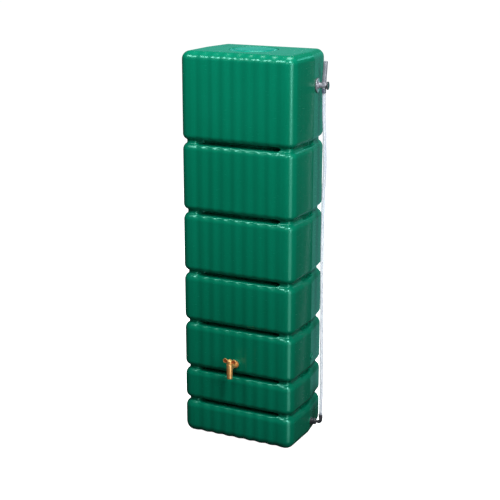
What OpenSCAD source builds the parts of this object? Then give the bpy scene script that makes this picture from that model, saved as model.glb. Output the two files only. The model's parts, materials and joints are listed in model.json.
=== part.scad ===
// Slim wall-mounted rainwater tank: moulded shell in seven bulging segments,
// screw lid, brass plug tap and a side level gauge with a clear hose.
// Origin: centre of the base. +Z up, -Y the fluted front, +X the gauge side.

/* [Tank] */
// Overall height of the tank
tank_h = 1800; // [1700:10:1900]
// Width across the two flat side faces
tank_w = 563; // [540:1:580]
// Depth from the front crests to the back
tank_d = 397; // [380:1:420]
// Wall thickness of the moulded shell
wall = 4.5; // [4:0.5:6]
// Radius of the two upright front corners
front_r = 45; // [42:1:50]
// Radius of the two upright back corners
back_r = 38; // [34:1:42]
// Distance from the front to the crease where the sides start to taper
crease_from_front = 212; // [205:1:220]
// Angle by which the sides taper inward behind the crease
side_taper = 9; // [8:0.5:10]
// Radius of the top edge
top_edge_r = 38; // [34:1:40]
// Radius of the bottom edge
bottom_edge_r = 44; // [40:1:46]

/* [Flutes] */
// Distance between two crests of the front flutes
flute_pitch = 56; // [54:1:58]
// Depth of a flute from crest to valley
flute_depth = 3; // [1.5:0.5:4]
// Number of flutes across the front
flute_count = 8; // [6:2:8]

/* [Grooves] */
// Height of the lowest groove's middle above the base
groove_1 = 164; // [160:1:168]
// Height of the second groove's middle
groove_2 = 324; // [320:1:328]
// Height of the third groove's middle
groove_3 = 550; // [546:1:554]
// Height of the fourth groove's middle
groove_4 = 788; // [783:1:793]
// Height of the fifth groove's middle
groove_5 = 1075; // [1070:1:1080]
// Height of the highest groove's middle
groove_6 = 1397; // [1392:1:1402]
// Depth of a groove at the corners
groove_depth = 19; // [16:1:20]
// Clear height of a groove at its bottom
neck_h = 16; // [14:1:18]
// Edge radius of the segment above a groove
upper_lip_r = 28; // [26:1:30]
// Edge radius of the segment below a groove
lower_lip_r = 34; // [30:1:36]
// Extra depth of the stiffening pocket in the front of each groove
front_pocket = 46; // [40:1:50]
// Half of the front pocket's length
front_pocket_half = 205; // [200:1:208]
// Extra depth of the pocket in each side of a groove
side_pocket = 9; // [6:1:14]

/* [Lid] */
// Sideways place of the filler's centre
lid_x = -12; // [-20:1:20]
// Fore-and-aft place of the filler's centre
lid_y = 6; // [-20:1:20]
// Radius of the recess that the lid lies in
recess_r = 111; // [109:1:113]
// Radius of the filler hole
filler_r = 90; // [88:1:92]
// Radius of the lid's flange
lid_r = 108; // [106:1:108]
// Radius of the lid's raised middle disc
lid_disc_r = 86; // [84:1:88]

/* [Tap] */
// Height of the tap's threaded inlet above the base
tap_z = 384; // [383:1:390]
// Distance of the tap's upright axis in front of the tank
tap_reach = 59.5; // [56:0.5:64]
// Outer radius of the tap's upright housing
tap_r = 13.5; // [13:0.1:14]
// Radius of the outlet spout that a hose is pushed onto
spout_r = 12.5; // [12:0.1:12.8]
// Distance of the spout's open end below the inlet
spout_drop = 51; // [48:1:54]
// Half of the butterfly handle's span
handle_half = 33; // [30:1:36]

/* [Level gauge] */
// Height of the upper gauge connector
gauge_top_z = 1651; // [1641:1:1661]
// Fore-and-aft place of the upper gauge connector
gauge_top_y = 60; // [56:1:64]
// Height of the lower gauge connector
gauge_low_z = 73; // [66:1:78]
// Fore-and-aft place of the lower gauge connector
gauge_low_y = 24; // [22:1:28]
// Outer radius of the clear hose
hose_r = 8; // [7.5:0.1:8.5]
// Wall thickness of the clear hose
hose_wall = 2; // [1.5:0.1:2]
// Height of the grey vent tube above the upper connector's axis
vent_h = 107; // [98:1:112]
// Lean of the vent tube away from the tank
vent_lean = 3.5; // [0:0.5:4]

/* [Hidden] */
$fn = 64;

green = [0.0, 0.42, 0.31];
brass = [0.72, 0.45, 0.20];
black = [0.12, 0.12, 0.13];
grey = [0.55, 0.57, 0.60];
steel = [0.70, 0.70, 0.72];
clear = [0.85, 0.90, 0.95, 0.5];

eps = 0.01;
front_y = -tank_d / 2;
back_y = tank_d / 2;
crease_y = front_y + crease_from_front;
groove_zs = [groove_1, groove_2, groove_3, groove_4, groove_5, groove_6];
// height of the almost level wall of a pocket
pocket_lip = 0.8;
// the side pockets run from one y to the other, over slopes this long
side_pocket_y0 = -55;
side_pocket_y1 = 68;
side_pocket_slope = 14;
pocket_end_slope = 19;
outer_steps = 3;
inner_steps = 1;
corner_steps = 5;

// ---------- plan outline of the tank, inset by d ----------

// how deep a flute is at x, square to the surface
function flute(x) =
    abs(x) > flute_pitch * flute_count / 2 ? 0 : flute_depth * (1 - cos(360 * x / flute_pitch)) / 2;

// 0 outside a pocket, 1 inside it, with a straight slope at each end
function pocket_share(v, low, high, slope) =
    max(0, min(1, min((v - low) / slope + 0.5, (high - v) / slope + 0.5)));

function front_extra(x, grow) =
    front_pocket * pocket_share(x, -front_pocket_half - grow, front_pocket_half + grow, pocket_end_slope);

function side_extra(y, grow) =
    side_pocket * pocket_share(y, side_pocket_y0 - grow, side_pocket_y1 + grow, side_pocket_slope);

// x of the right side's surface at a given y, for an outline inset by d
function side_x(y, d) =
    tank_w / 2 - d - max(0, y - crease_y - d * tan(side_taper / 2)) * tan(side_taper);

function arc_points(cx, cy, r, a0, a1, steps) =
    [for (i = [0 : steps]) let (a = a0 + (a1 - a0) * i / steps) [cx + r * cos(a), cy + r * sin(a)]];

// the right half from the front corner round to the back corner, front to back
function right_half(d, pocket, grow) =
    let (rf = max(front_r - d, 1),
         rb = max(back_r - d, 1),
         bc_y = back_y - d - rb,
         bc_x = side_x(bc_y, d) - rb / cos(side_taper),
         side_ys = [side_pocket_y0 - grow - side_pocket_slope / 2,
                    side_pocket_y0 - grow + side_pocket_slope / 2,
                    crease_y + d * tan(side_taper / 2),
                    side_pocket_y1 + grow - side_pocket_slope / 2,
                    side_pocket_y1 + grow + side_pocket_slope / 2])
    concat(arc_points(tank_w / 2 - d - rf, front_y + d + rf, rf, -90, 0, corner_steps),
           [for (y = side_ys) [side_x(y, d) - pocket * side_extra(y, grow), y]],
           arc_points(bc_x, bc_y, rb, side_taper, 90, corner_steps - 1));

function mirrored(points) =
    [for (i = [len(points) - 1 : -1 : 0]) [-points[i][0], points[i][1]]];

// the fluted front, one point on each crest and in each valley
function front_row(level, skin) =
    [for (i = [-flute_count : flute_count])
        let (x = i * flute_pitch / 2)
        [x, front_y + level[1] + flute(x) * level[4] + level[2] * front_extra(x, skin),
         level[0] + flute(x) * level[3]]];

function ring(level, skin) =
    let (half = right_half(level[1], level[2], skin))
    concat(front_row(level, skin), [for (p = concat(half, mirrored(half))) [p[0], p[1], level[0]]]);

// ---------- upright profile: each entry is [height, inset, pocket, flute up, flute inward] ----------

function lip_angle(r) = acos(1 - groove_depth / r);

// the flutes run round the edges of the segments and fade out on the base and the roof
function flute_fade(a) = min(1, (90 - a) / 18);

function bottom_profile(skin, steps) =
    [for (i = [0 : steps]) let (a = 90 - 90 * i / steps)
        [bottom_edge_r - (bottom_edge_r - skin) * sin(a),
         bottom_edge_r - (bottom_edge_r - skin) * cos(a), 0,
         flute_fade(a) * sin(a), flute_fade(a) * cos(a)]];

function top_profile(skin, steps) =
    [for (i = [0 : steps]) let (a = 90 * i / steps)
        [tank_h - top_edge_r + (top_edge_r - skin) * sin(a),
         top_edge_r - (top_edge_r - skin) * cos(a), 0,
         -flute_fade(a) * sin(a), flute_fade(a) * cos(a)]];

// the edge of one segment as it turns into a groove; side is -1 below the groove, 1 above
function lip_profile(zc, side, r, skin, steps) =
    [for (i = [0 : steps]) let (a = lip_angle(r) * i / steps)
        [zc + side * (neck_h / 2 + r * sin(lip_angle(r)) - (r - skin) * sin(a)),
         r - (r - skin) * cos(a), 0, side * sin(a), cos(a)]];

function reversed(list) = [for (i = [len(list) - 1 : -1 : 0]) list[i]];

function groove_profile(zc, skin, steps) =
    let (low = lip_profile(zc, -1, lower_lip_r, skin, steps),
         high = lip_profile(zc, 1, upper_lip_r, skin, steps))
    concat(low,
           [[low[steps][0] + pocket_lip, groove_depth + skin, 1, 0, 0],
            [high[steps][0] - pocket_lip, groove_depth + skin, 1, 0, 0]],
           reversed(high));

function tank_profile(skin, steps) =
    concat(bottom_profile(skin, steps + 2),
           [for (zc = groove_zs) each groove_profile(zc, skin, steps)],
           top_profile(skin, steps + 2));

// a closed solid through rings of equally many points, closed by a fan at each end
module swept(rings) {
    n = len(rings[0]);
    last = len(rings) - 1;
    points = concat([for (r = rings) each r], [centre_of(rings[0]), centre_of(rings[last])]);
    walls = [for (k = [0 : last - 1], i = [0 : n - 1])
        let (j = (i + 1) % n) [k * n + i, (k + 1) * n + i, (k + 1) * n + j, k * n + j]];
    first_fan = [for (i = [0 : n - 1]) [(last + 1) * n, i, (i + 1) % n]];
    last_fan = [for (i = [0 : n - 1]) [(last + 1) * n + 1, last * n + (i + 1) % n, last * n + i]];
    polyhedron(points, concat(first_fan, walls, last_fan), convexity = 12);
}

function centre_of(ring_points) = [for (p = ring_points) 1 / len(ring_points)] * ring_points;

function tank_rings(skin, steps) = [for (level = tank_profile(skin, steps)) ring(level, skin)];

// the rim of the opening in the roof, each point in line with a point of the tank's outline
function rim_ring(outline, z) =
    [for (p = outline)
        let (away = [p[0] - lid_x, p[1] - lid_y])
        [lid_x + rim_r * away[0] / norm(away), lid_y + rim_r * away[1] / norm(away), z]];

// the outside from the base up, over the rim of the filler opening, and the inside down again
module tank_walls() {
    outside = tank_rings(0, outer_steps);
    inside = tank_rings(wall, inner_steps);
    swept(concat(outside,
                 [rim_ring(outside[len(outside) - 1], tank_h), rim_ring(inside[len(inside) - 1], tank_h - wall)],
                 reversed(inside)));
}

// ---------- shared shapes ----------

module tube(r_out, r_in, h) {
    difference() {
        cylinder(r = r_out, h = h);
        translate([0, 0, -1]) cylinder(r = r_in, h = h + 2);
    }
}

module hex_prism(across_flats, h) {
    cylinder(r = across_flats / 2 / cos(30), h = h, $fn = 6);
}

module hex_nut(across_flats, r_in, h) {
    difference() {
        hex_prism(across_flats, h);
        translate([0, 0, -1]) cylinder(r = r_in, h = h + 2);
    }
}

module ring_seal(r_mid, r_wire) {
    rotate_extrude() translate([r_mid, 0]) circle(r = r_wire, $fn = 24);
}

// local +Z points out of the tapered side, the origin is on its surface
module on_side(y, z) {
    translate([side_x(y, 0), y, z]) rotate([0, 0, side_taper]) rotate([0, 90, 0]) children();
}

// local +Z points up, at a distance out from the surface of the tapered side
module beside(y, z, out) {
    translate([side_x(y, 0), y, z]) rotate([0, 0, side_taper]) translate([out, 0, 0]) children();
}

// local +Z points forward, away from the tank's front
module on_front(x, z) {
    translate([x, front_y, z]) rotate([90, 0, 0]) children();
}

// local +Z points up along the tap's upright axis, z = 0 at the height of its inlet
module on_tap_axis() {
    translate([0, front_y - tap_reach, tap_z]) children();
}

module at_lid() {
    translate([lid_x, lid_y, 0]) children();
}

// ---------- tank and lid ----------

recess_depth = 12;
// radius of the opening in the roof that the recess cup closes
rim_r = 101;
recess_floor_z = tank_h - recess_depth;
// ledge in the roof, on which the filler ring's flange is welded
ledge_w = 6;
ledge_t = 3;
ring_flange_t = 3;
recess_wall_t = 5;
ledge_low_z = recess_floor_z - ring_flange_t - ledge_t;
collar_h = 24;
collar_t = 5;
pad_r = 24;
// distances along the tap's inlet, measured forward from the front crests
tap_pad_out = 1;
tap_pad_in = -11.5;
tap_hole_r = 13.4;
gauge_hole_r = 12.2;
low_hole_r = 9.2;
low_pad_out = 1;
low_pad_r = 20;
boss_y = 27;
boss_z = 396;
boss_r = 17;
boss_out = 3;

module tank_shell() {
    color(green)
    difference() {
        union() {
            tank_walls();
            at_lid() translate([0, 0, ledge_low_z])
                cylinder(r = recess_r + recess_wall_t, h = tank_h - 2 - ledge_low_z);
            on_front(0, tap_z) translate([0, 0, tap_pad_in]) cylinder(r = pad_r, h = tap_pad_out - tap_pad_in);
            on_side(gauge_low_y, gauge_low_z) translate([0, 0, -6]) cylinder(r = low_pad_r, h = 6 + low_pad_out);
            on_side(boss_y, boss_z) translate([0, 0, -4]) cylinder(r = boss_r, h = 4 + boss_out);
        }
        at_lid() {
            translate([0, 0, ledge_low_z + ledge_t]) cylinder(r = recess_r, h = tank_h - ledge_low_z);
            translate([0, 0, ledge_low_z - 1]) cylinder(r = recess_r - ledge_w, h = tank_h - ledge_low_z);
        }
        on_front(0, tap_z) translate([0, 0, tap_pad_in - 1]) cylinder(r = tap_hole_r, h = 20);
        on_side(gauge_top_y, gauge_top_z) translate([0, 0, -8]) cylinder(r = gauge_hole_r, h = 12);
        on_side(gauge_low_y, gauge_low_z) translate([0, 0, -8]) cylinder(r = low_hole_r, h = 12);
        on_side(boss_y, boss_z) translate([0, 0, boss_out - 2]) cylinder(r = boss_r - 5, h = 3);
    }
}

// threaded filler neck, welded into the roof
module filler_ring() {
    color(green) at_lid()
    difference() {
        union() {
            translate([0, 0, recess_floor_z - ring_flange_t]) cylinder(r = recess_r - 0.1, h = ring_flange_t);
            translate([0, 0, recess_floor_z - collar_h]) cylinder(r = filler_r + collar_t, h = collar_h);
        }
        translate([0, 0, recess_floor_z - collar_h - 1]) cylinder(r = filler_r, h = collar_h + 2);
    }
}

gasket_t = 1.8;
gap = 0.3;
lid_under_z = recess_floor_z + gasket_t + 2 * gap;
lid_flange_top_z = tank_h - 1;
lid_disc_top_z = tank_h + 1.5;
skirt_r = 87.5;
skirt_t = 4;
skirt_h = 20;
grip_r0 = 90;
grip_r1 = 103;
grip_half_angle = 20;
grip_depth = 6;
lid_rib_count = 6;

module lid() {
    color(green) at_lid()
    difference() {
        union() {
            translate([0, 0, lid_under_z]) cylinder(r = lid_r, h = lid_flange_top_z - lid_under_z);
            translate([0, 0, lid_under_z]) cylinder(r = lid_disc_r, h = lid_disc_top_z - lid_under_z);
            translate([0, 0, lid_under_z - skirt_h]) tube(skirt_r, skirt_r - skirt_t, skirt_h + eps);
            for (i = [0 : lid_rib_count - 1])
                rotate([0, 0, 360 / lid_rib_count * i])
                    translate([30, -1.5, lid_under_z - 6]) cube([skirt_r - skirt_t - 29.5, 3, 6 + eps]);
        }
        for (side = [0, 180])
            rotate([0, 0, side - grip_half_angle])
                rotate_extrude(angle = 2 * grip_half_angle)
                    translate([grip_r0, lid_flange_top_z - grip_depth])
                        square([grip_r1 - grip_r0, grip_depth + 3]);
    }
}

module lid_gasket() {
    color(black) at_lid() translate([0, 0, recess_floor_z + gap]) tube(106, skirt_r + 0.4, gasket_t);
}

// ---------- tap ----------

tap_bore_r = 8;
tap_thread_r = 13.1;
tap_flange_r = 17;
tap_stub_r = 12;
washer_t = 2.5;
tap_flange_t = 4.5;
tap_thread_in = -31;
lock_nut_h = 10;
// heights above and below the inlet's axis
housing_low_z = -30;
housing_top_z = 13;
spout_end_z = -spout_drop;
chamber_low_z = -16;
plug_r = 9.95;
chamber_r = 10;
stem_r = 6.95;
gland_h = 6;
hub_low_z = 19.6;
hub_top_z = 40;
hub_r = 12;
wing_low_z = 21;
wing_top_z = 43;
wing_t = 5;
handle_socket_top_z = 31;

module tap_body() {
    color(brass)
    difference() {
        union() {
            on_tap_axis() {
                translate([0, 0, housing_low_z]) cylinder(r = tap_r, h = housing_top_z - housing_low_z);
                translate([0, 0, spout_end_z + 2]) cylinder(r = spout_r, h = housing_low_z - spout_end_z);
                // rounded rim of the spout
                translate([0, 0, spout_end_z + 2]) ring_seal(spout_r - 2, 2);
                translate([0, 0, spout_end_z]) cylinder(r = spout_r - 2, h = 3);
            }
            on_front(0, tap_z) {
                translate([0, 0, tap_thread_in]) cylinder(r = tap_thread_r, h = -tap_thread_in + washer_t + 2);
                translate([0, 0, tap_pad_out + washer_t]) cylinder(r = tap_flange_r, h = tap_flange_t);
                translate([0, 0, tap_pad_out + washer_t]) cylinder(r = tap_stub_r, h = tap_reach - tap_pad_out - washer_t);
                translate([0, 0, tap_pad_out + washer_t + tap_flange_t]) hex_prism(26, 9);
            }
        }
        on_tap_axis() {
            translate([0, 0, spout_end_z - 1]) cylinder(r = tap_bore_r, h = chamber_low_z - spout_end_z + 2);
            translate([0, 0, chamber_low_z]) cylinder(r = chamber_r, h = housing_top_z - chamber_low_z + 1);
        }
        on_front(0, tap_z) translate([0, 0, tap_thread_in - 1]) cylinder(r = tap_bore_r, h = tap_reach - tap_thread_in);
    }
}

module tap_outer_washer() {
    color(black) on_front(0, tap_z) translate([0, 0, tap_pad_out]) tube(tap_flange_r, tap_thread_r + 0.1, washer_t);
}

module tap_inner_washer() {
    color(black) on_front(0, tap_z)
        translate([0, 0, tap_pad_in - washer_t]) tube(tap_flange_r, tap_thread_r + 0.1, washer_t);
}

module tap_lock_nut() {
    color(brass) on_front(0, tap_z)
        translate([0, 0, tap_pad_in - washer_t - lock_nut_h]) hex_nut(36, tap_thread_r + 0.05, lock_nut_h);
}

module tap_gland_nut() {
    color(brass) on_tap_axis() translate([0, 0, housing_top_z])
    difference() {
        union() {
            cylinder(r = tap_r + 0.4, h = gland_h - 1);
            cylinder(r = tap_r - 0.4, h = gland_h);
        }
        translate([0, 0, -1]) cylinder(r = stem_r + 0.05, h = gland_h + 2);
    }
}

oring_wire = 1.2;
oring_mid = plug_r - oring_wire;
oring_zs = [chamber_low_z + 4.5, housing_top_z - 3];
plug_port_r = 6.5;

module tap_plug() {
    color(brass)
    difference() {
        on_tap_axis() {
            translate([0, 0, chamber_low_z + gap]) cylinder(r = plug_r, h = housing_top_z - chamber_low_z - 2 * gap);
            translate([0, 0, housing_top_z - 1]) cylinder(r = stem_r, h = handle_socket_top_z - housing_top_z + 0.7);
        }
        on_tap_axis() {
            translate([0, 0, chamber_low_z - 1]) cylinder(r = plug_port_r, h = 1 - chamber_low_z);
            rotate([0, 90, 0]) cylinder(r = plug_port_r, h = plug_r + 1);
            for (z = oring_zs)
                translate([0, 0, z - oring_wire - 0.1])
                    tube(plug_r + 1, oring_mid - oring_wire, 2 * oring_wire + 0.2);
            // flat that keys the handle, and the screw's hole
            translate([4.6, -10, housing_top_z + gland_h + 1]) cube([10, 20, 20]);
            translate([0, 0, handle_socket_top_z - 12]) cylinder(r = 2, h = 20);
        }
    }
}

module tap_plug_orings() {
    color(black) on_tap_axis()
        for (z = oring_zs) translate([0, 0, z]) ring_seal(oring_mid, oring_wire);
}

// outline of one wing in the upright plane: x outward, y up from the wing's lower edge
module wing_outline(shrink) {
    wing_h = wing_top_z - wing_low_z;
    lobe_r = wing_h / 2;
    hull() {
        translate([handle_half - lobe_r, lobe_r]) circle(r = lobe_r - shrink, $fn = 32);
        translate([hub_r - 4, 5]) circle(r = 5 - shrink, $fn = 32);
        translate([hub_r - 4, wing_h - 9]) circle(r = 5 - shrink, $fn = 32);
    }
}

module wing() {
    translate([0, 0, wing_low_z]) rotate([90, 0, 0])
    difference() {
        translate([0, 0, -wing_t / 2]) linear_extrude(wing_t) wing_outline(0);
        for (side = [0, 1])
            mirror([0, 0, side]) translate([0, 0, wing_t / 2 - 1.2]) linear_extrude(3) wing_outline(2.5);
    }
}

module tap_handle() {
    color(brass) on_tap_axis()
    difference() {
        union() {
            wing();
            mirror([1, 0, 0]) wing();
            translate([0, 0, hub_low_z]) cylinder(r = hub_r, h = hub_top_z - hub_low_z - 6);
            // domed crown of the hub
            translate([0, 0, hub_top_z - 6])
                rotate_extrude() intersection() {
                    translate([0, -6]) circle(r = hub_r);
                    square([hub_r, 6]);
                }
        }
        // socket for the plug's stem, with a flat, and the screw's hole
        difference() {
            translate([0, 0, hub_low_z - 1]) cylinder(r = stem_r + 0.05, h = handle_socket_top_z - hub_low_z + 1);
            translate([4.7, -10, hub_low_z - 2]) cube([10, 20, 20]);
        }
        translate([0, 0, handle_socket_top_z - 1]) cylinder(r = 2.3, h = 20);
        translate([0, 0, hub_top_z - 5]) cylinder(r = 4.4, h = 10);
    }
}

module tap_handle_screw() {
    color(steel) on_tap_axis()
    difference() {
        union() {
            translate([0, 0, handle_socket_top_z - 10]) cylinder(r = 1.95, h = hub_top_z - 5 - handle_socket_top_z + 10.5);
            translate([0, 0, hub_top_z - 5]) cylinder(r = 4.2, h = 3.2);
        }
        for (turn = [0, 90])
            rotate([0, 0, turn]) translate([-3, -0.6, hub_top_z - 3.3]) cube([6, 1.2, 3]);
    }
}

// ---------- level gauge, upper end ----------

// distances out from the tapered side, along the connector's axis
top_washer_t = 2;
top_flange_t = 4;
tee_out = 31;
tee_end = 45;
tee_bore_r = 8.5;
barrel_r = 12.3;
vent_r = 10;
vent_wall = 2;
socket_r = 11.8;
socket_top = 16;
nipple_r = 5.6;
nipple_low = -40;
clip_r = 9.8;
clip_top = -12.5;
clip_low = -33;
cap_r = 18;
cap_t = 7;
cap_plug_len = 8;
top_nut_in = -4.6;

module gauge_upper_tee() {
    color(black)
    difference() {
        union() {
            on_side(gauge_top_y, gauge_top_z) {
                translate([0, 0, -22]) cylinder(r = gauge_hole_r - 0.15, h = 24);
                translate([0, 0, top_washer_t]) cylinder(r = 32, h = top_flange_t);
                translate([0, 0, top_washer_t]) cylinder(r = barrel_r, h = tee_end - top_washer_t);
                translate([0, 0, top_washer_t + top_flange_t]) cylinder(r = 15, h = 2.5);
            }
            beside(gauge_top_y, gauge_top_z, tee_out) {
                cylinder(r = socket_r, h = socket_top);
                translate([0, 0, clip_top]) cylinder(r = 8.5, h = -clip_top);
                translate([0, 0, nipple_low]) cylinder(r = nipple_r, h = -nipple_low);
            }
        }
        on_side(gauge_top_y, gauge_top_z) translate([0, 0, -23]) cylinder(r = tee_bore_r, h = tee_end + 24);
        beside(gauge_top_y, gauge_top_z, tee_out) {
            translate([0, 0, nipple_low - 1]) cylinder(r = 4, h = 2 - nipple_low);
            rotate([0, vent_lean, 0]) translate([0, 0, 9]) cylinder(r = vent_r, h = 30);
            rotate([0, vent_lean, 0]) cylinder(r = vent_r - vent_wall, h = 12);
        }
    }
}

module gauge_upper_washer() {
    color(black) on_side(gauge_top_y, gauge_top_z) tube(33, gauge_hole_r, top_washer_t);
}

module gauge_upper_nut() {
    color(black) on_side(gauge_top_y, gauge_top_z) translate([0, 0, top_nut_in - 9]) hex_nut(36, gauge_hole_r, 9);
}

module gauge_end_cap() {
    color(black) on_side(gauge_top_y, gauge_top_z)
    difference() {
        union() {
            translate([0, 0, tee_end + 0.4]) cylinder(r = cap_r, h = cap_t);
            translate([0, 0, tee_end - cap_plug_len]) cylinder(r = tee_bore_r - 0.1, h = cap_plug_len + 1);
        }
        // ribs for the fingers round the rim, a ring groove for the seal, a hollow plug
        for (i = [0 : 17])
            rotate([0, 0, 20 * i]) translate([cap_r + 0.4, 0, tee_end]) cylinder(r = 1.3, h = cap_t + 2, $fn = 24);
        translate([0, 0, tee_end - 5]) tube(tee_bore_r + 1, tee_bore_r - 1.8, 2.2);
        translate([0, 0, tee_end - cap_plug_len - 1]) cylinder(r = 5, h = cap_plug_len);
    }
}

module gauge_cap_seal() {
    color(black) on_side(gauge_top_y, gauge_top_z)
        translate([0, 0, tee_end - 3.9]) ring_seal(tee_bore_r - 0.95, 0.85);
}

module gauge_vent_tube() {
    color(grey) beside(gauge_top_y, gauge_top_z, tee_out) rotate([0, vent_lean, 0])
        translate([0, 0, 9.1]) tube(vent_r - 0.05, vent_r - vent_wall, vent_h - 9.1);
}

module gauge_upper_hose_clip() {
    color(grey) beside(gauge_top_y, gauge_top_z, tee_out)
        translate([0, 0, clip_low]) tube(clip_r, hose_r + 0.1, clip_top - clip_low);
}

// ---------- level gauge, lower end ----------

low_washer_t = 2;
low_flange_r = 17;
low_flange_t = 4;
elbow_out = 50;
elbow_r = 8.3;
elbow_bore_r = 4.5;
elbow_tail_r = 6.5;
low_union_out = 16;
low_union_h = 11;
low_clip_r = 9.4;
low_clip_low = 17;
low_clip_high = 37;
low_face = low_pad_out + low_washer_t;

module gauge_lower_connector() {
    color(black) on_side(gauge_low_y, gauge_low_z)
    difference() {
        union() {
            translate([0, 0, -20]) cylinder(r = low_hole_r - 0.1, h = 22 + low_face);
            translate([0, 0, low_face]) cylinder(r = low_flange_r, h = low_flange_t);
            translate([0, 0, low_face + low_flange_t]) hex_prism(24, 6);
            translate([0, 0, low_face]) cylinder(r = 10, h = 22);
        }
        translate([0, 0, -21]) cylinder(r = elbow_bore_r, h = 60);
        translate([0, 0, 17]) cylinder(r = elbow_tail_r + 0.1, h = 20);
    }
}

module gauge_lower_washer() {
    color(black) on_side(gauge_low_y, gauge_low_z)
        translate([0, 0, low_pad_out]) tube(18, low_hole_r, low_washer_t);
}

module gauge_lower_inner_nut() {
    color(black) on_side(gauge_low_y, gauge_low_z) translate([0, 0, -14.5]) hex_nut(27, low_hole_r, 8);
}

module gauge_lower_union_nut() {
    color(black) on_side(gauge_low_y, gauge_low_z)
    difference() {
        translate([0, 0, low_union_out]) hex_prism(29, low_union_h);
        translate([0, 0, low_union_out - 1]) cylinder(r = 10.1, h = low_face + 22 - low_union_out + 1.2);
        translate([0, 0, low_union_out]) cylinder(r = elbow_tail_r + 0.1, h = 20);
    }
}

module gauge_elbow() {
    color(black)
    difference() {
        union() {
            on_side(gauge_low_y, gauge_low_z) {
                translate([0, 0, 18]) cylinder(r = elbow_tail_r, h = elbow_out - 18);
                translate([0, 0, elbow_out - 11]) cylinder(r = elbow_r, h = 11);
            }
            beside(gauge_low_y, gauge_low_z, elbow_out) {
                sphere(r = elbow_r);
                cylinder(r = elbow_r, h = 14);
                cylinder(r = nipple_r, h = 44);
            }
        }
        on_side(gauge_low_y, gauge_low_z) translate([0, 0, 17]) cylinder(r = elbow_bore_r, h = elbow_out - 17);
        beside(gauge_low_y, gauge_low_z, elbow_out) cylinder(r = 4, h = 46);
        on_side(gauge_low_y, gauge_low_z) translate([0, 0, 19.6]) tube(elbow_tail_r + 1, elbow_tail_r - 1.4, 2);
    }
}

module gauge_elbow_seal() {
    color(black) on_side(gauge_low_y, gauge_low_z) translate([0, 0, 20.6]) ring_seal(elbow_tail_r - 0.7, 0.65);
}

module gauge_lower_hose_clip() {
    color(black) beside(gauge_low_y, gauge_low_z, elbow_out)
        translate([0, 0, low_clip_low]) tube(low_clip_r, hose_r + 0.1, low_clip_high - low_clip_low);
}

// ---------- clear hose ----------

// how far the hose bows away from the straight line between its two ends, by height
hose_bow = [[88, 0], [300, 1], [600, 0], [900, -1], [1120, 2], [1290, 9], [1420, 6], [1540, 1], [1620, 0]];
hose_low_z = gauge_low_z + 16;
hose_high_z = gauge_top_z - 14;
hose_sides = 12;
hose_rings = 36;
low_leg = [side_x(gauge_low_y, 0) + elbow_out * cos(side_taper), gauge_low_y + elbow_out * sin(side_taper)];
top_leg = [side_x(gauge_top_y, 0) + tee_out * cos(side_taper), gauge_top_y + tee_out * sin(side_taper)];
// the hose leaves both ends upright before it leans over to the other end
function lean_share(z) =
    let (t = max(0, min(1, (z - hose_low_z - 30) / (hose_high_z - hose_low_z - 60)))) t * t * (3 - 2 * t);

function hose_centre(z) =
    let (t = lean_share(z), bow = lookup(z, hose_bow))
    [low_leg[0] + (top_leg[0] - low_leg[0]) * t + bow * cos(side_taper),
     low_leg[1] + (top_leg[1] - low_leg[1]) * t + bow * sin(side_taper),
     z];

module hose_solid(r, extra) {
    z0 = hose_low_z - extra;
    z1 = hose_high_z + extra;
    swept([for (k = [0 : hose_rings])
        let (z = z0 + (z1 - z0) * k / hose_rings, c = hose_centre(z))
        [for (i = [0 : hose_sides - 1]) let (a = 360 * i / hose_sides)
            [c[0] + r * cos(a), c[1] + r * sin(a), z]]]);
}

module gauge_hose() {
    color(clear)
    difference() {
        hose_solid(hose_r, 0);
        hose_solid(hose_r - hose_wall, 1);
    }
}

tank_shell();
filler_ring();
lid();
lid_gasket();
tap_body();
tap_outer_washer();
tap_inner_washer();
tap_lock_nut();
tap_gland_nut();
tap_plug();
tap_plug_orings();
tap_handle();
tap_handle_screw();
gauge_upper_tee();
gauge_upper_washer();
gauge_upper_nut();
gauge_end_cap();
gauge_cap_seal();
gauge_vent_tube();
gauge_upper_hose_clip();
gauge_hose();
gauge_lower_connector();
gauge_lower_washer();
gauge_lower_inner_nut();
gauge_lower_union_nut();
gauge_elbow();
gauge_elbow_seal();
gauge_lower_hose_clip();
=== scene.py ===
import json
import math

import bmesh
import bpy
from mathutils import Matrix, Vector


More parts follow.
